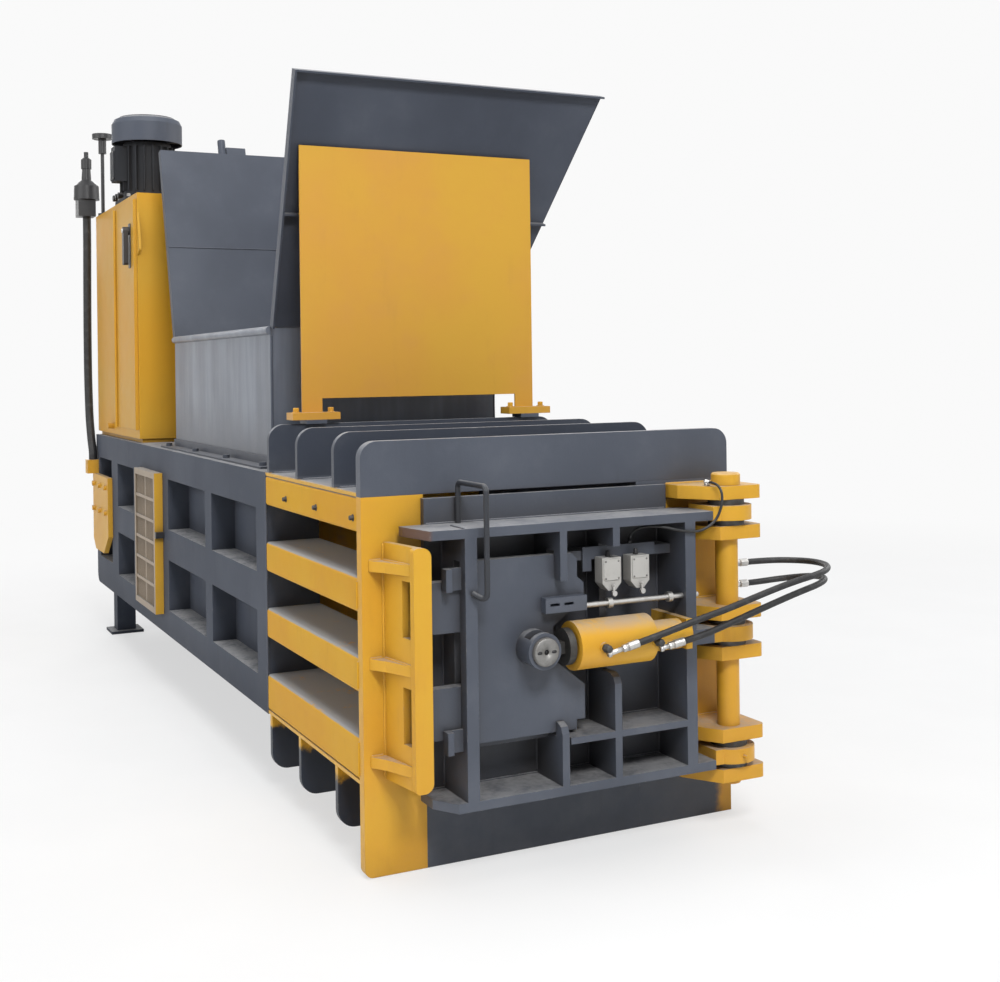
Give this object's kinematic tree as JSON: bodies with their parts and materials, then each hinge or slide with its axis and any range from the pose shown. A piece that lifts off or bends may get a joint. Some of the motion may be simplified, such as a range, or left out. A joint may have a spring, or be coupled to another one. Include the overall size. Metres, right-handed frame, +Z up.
{
  "type": "recycling baler",
  "caption": "Horizontal closed-door recycling baler: slotted bale chamber, hinged door with sliding hydraulic lock, funnel hopper on top and a power housing over the rear.",
  "frame": {"origin": "on the floor, at the middle of the front face of the front frame", "axes": "+X the way the bale leaves, out of the discharge door; +Z up; +Y towards the door's hinge side"},
  "size_m": [5.2617, 1.7957, 3.092],
  "materials": {
    "yellow_paint": "worn semi-gloss",
    "dark_paint": "dusty semi-gloss",
    "hopper_paint": "worn satin",
    "bright_steel": "turned",
    "black_rubber": "matt",
    "switch_plastic": "matt",
    "mesh_paint": "dusty",
    "black_fittings": "matt"
  },
  "bodies": {
    "press": {"anchor_plates": "yellow_paint", "body_box": "dark_paint", "body_side_left": "dark_paint", "body_side_right": "dark_paint", "bulkhead_fittings": "bright_steel", "chamber_floor": "dark_paint", "chamber_roof": "dark_paint", "fan_cowl": "dark_paint", "filler_breather": "black_fittings", "frame_lintel": "dark_paint", "frame_post_left": "yellow_paint", "frame_post_right": "yellow_paint", "frame_sill": "dark_paint", "hinge_lugs": "yellow_paint", "hinge_pin": "yellow_paint", "hopper_box": "hopper_paint", "hopper_curb": "hopper_paint", "hopper_front_panel": "hopper_paint", "hopper_guard": "yellow_paint", "hopper_rear_panel": "hopper_paint", "hopper_side_panel": "hopper_paint", "lock_hose_lower": "black_rubber", "lock_hose_upper": "black_rubber", "lock_keeper": "yellow_paint", "main_cylinder": "dark_paint", "mesh_door_fittings": "black_fittings", "motor_body": "dark_paint", "power_housing": "yellow_paint", "prefill_valve": "black_fittings", "pressure_line": "black_rubber", "side_beam_left_1": "yellow_paint", "side_beam_left_2": "yellow_paint", "side_beam_left_3": "yellow_paint", "side_beam_left_4": "yellow_paint", "side_beam_right_1": "yellow_paint", "side_beam_right_2": "yellow_paint", "side_beam_right_3": "yellow_paint", "side_beam_right_4": "yellow_paint", "switch_cable": "black_rubber", "thrust_washers": "bright_steel", "valve_block": "black_fittings"},
    "discharge_door": {"door_skin": "dark_paint", "door_frame": "dark_paint", "door_knuckles": "yellow_paint", "door_handle": "dark_paint", "lock_cylinder": "yellow_paint", "switch_plate": "switch_plastic", "cylinder_fittings": "bright_steel"},
    "lock": {"lock_plate": "dark_paint", "clevis_pin": "bright_steel", "lock_rod": "bright_steel", "trip_rod": "bright_steel"},
    "first_switch_lever": {"roller_lever_1": "bright_steel"},
    "second_switch_lever": {"roller_lever_2": "bright_steel"},
    "ram": {"press_ram": "yellow_paint", "ram_rod": "bright_steel"},
    "service_door": {"mesh_door": "mesh_paint"},
    "bay_door": {"housing_door": "yellow_paint"},
    "bay_lever": {"door_lever": "black_fittings"},
    "rotor": {"motor_rotor": "dark_paint"}
  },
  "joints": [
    {"name": "discharge_door_hinge", "type": "hinge", "parent": "press", "child": "discharge_door", "pos_m": [0.145, 0.673, 0.681], "axis": [0, 0, 1], "range_deg": [0, 110], "deforming": ["lock_hose_upper", "lock_hose_lower", "switch_cable"]},
    {"name": "lock_slide", "type": "slide", "parent": "discharge_door", "child": "lock", "axis": [0, -1, 0], "range_m": [0, 0.08]},
    {"name": "first_switch_hinge", "type": "hinge", "parent": "discharge_door", "child": "first_switch_lever", "pos_m": [0.18, 0.1985, 0.876], "axis": [1, 0, 0], "range_deg": [-20, 20], "stiffness_Nm_per_rad": 0.6},
    {"name": "second_switch_hinge", "type": "hinge", "parent": "discharge_door", "child": "second_switch_lever", "pos_m": [0.18, 0.3075, 0.876], "axis": [1, 0, 0], "range_deg": [-20, 20], "stiffness_Nm_per_rad": 0.6},
    {"name": "ram_stroke", "type": "slide", "parent": "press", "child": "ram", "axis": [1, 0, 0], "range_m": [-1.5, 0.1]},
    {"name": "service_door_hinge", "type": "hinge", "parent": "press", "child": "service_door", "pos_m": [-3.375, -0.6223, 0.73], "axis": [0, 0, -1], "range_deg": [0, 110]},
    {"name": "bay_door_hinge", "type": "hinge", "parent": "press", "child": "bay_door", "pos_m": [-4.0985, -0.606, 1.9], "axis": [0, 0, -1], "range_deg": [0, 110]},
    {"name": "bay_lever_turn", "type": "hinge", "parent": "bay_door", "child": "bay_lever", "pos_m": [-3.678, -0.612, 2.385], "axis": [0, 1, 0], "range_deg": [0, 90]},
    {"name": "motor_spin", "type": "hinge", "parent": "press", "child": "rotor", "pos_m": [-4, -0.431, 2.8], "axis": [0, 0, 1], "continuous": true}
  ]
}
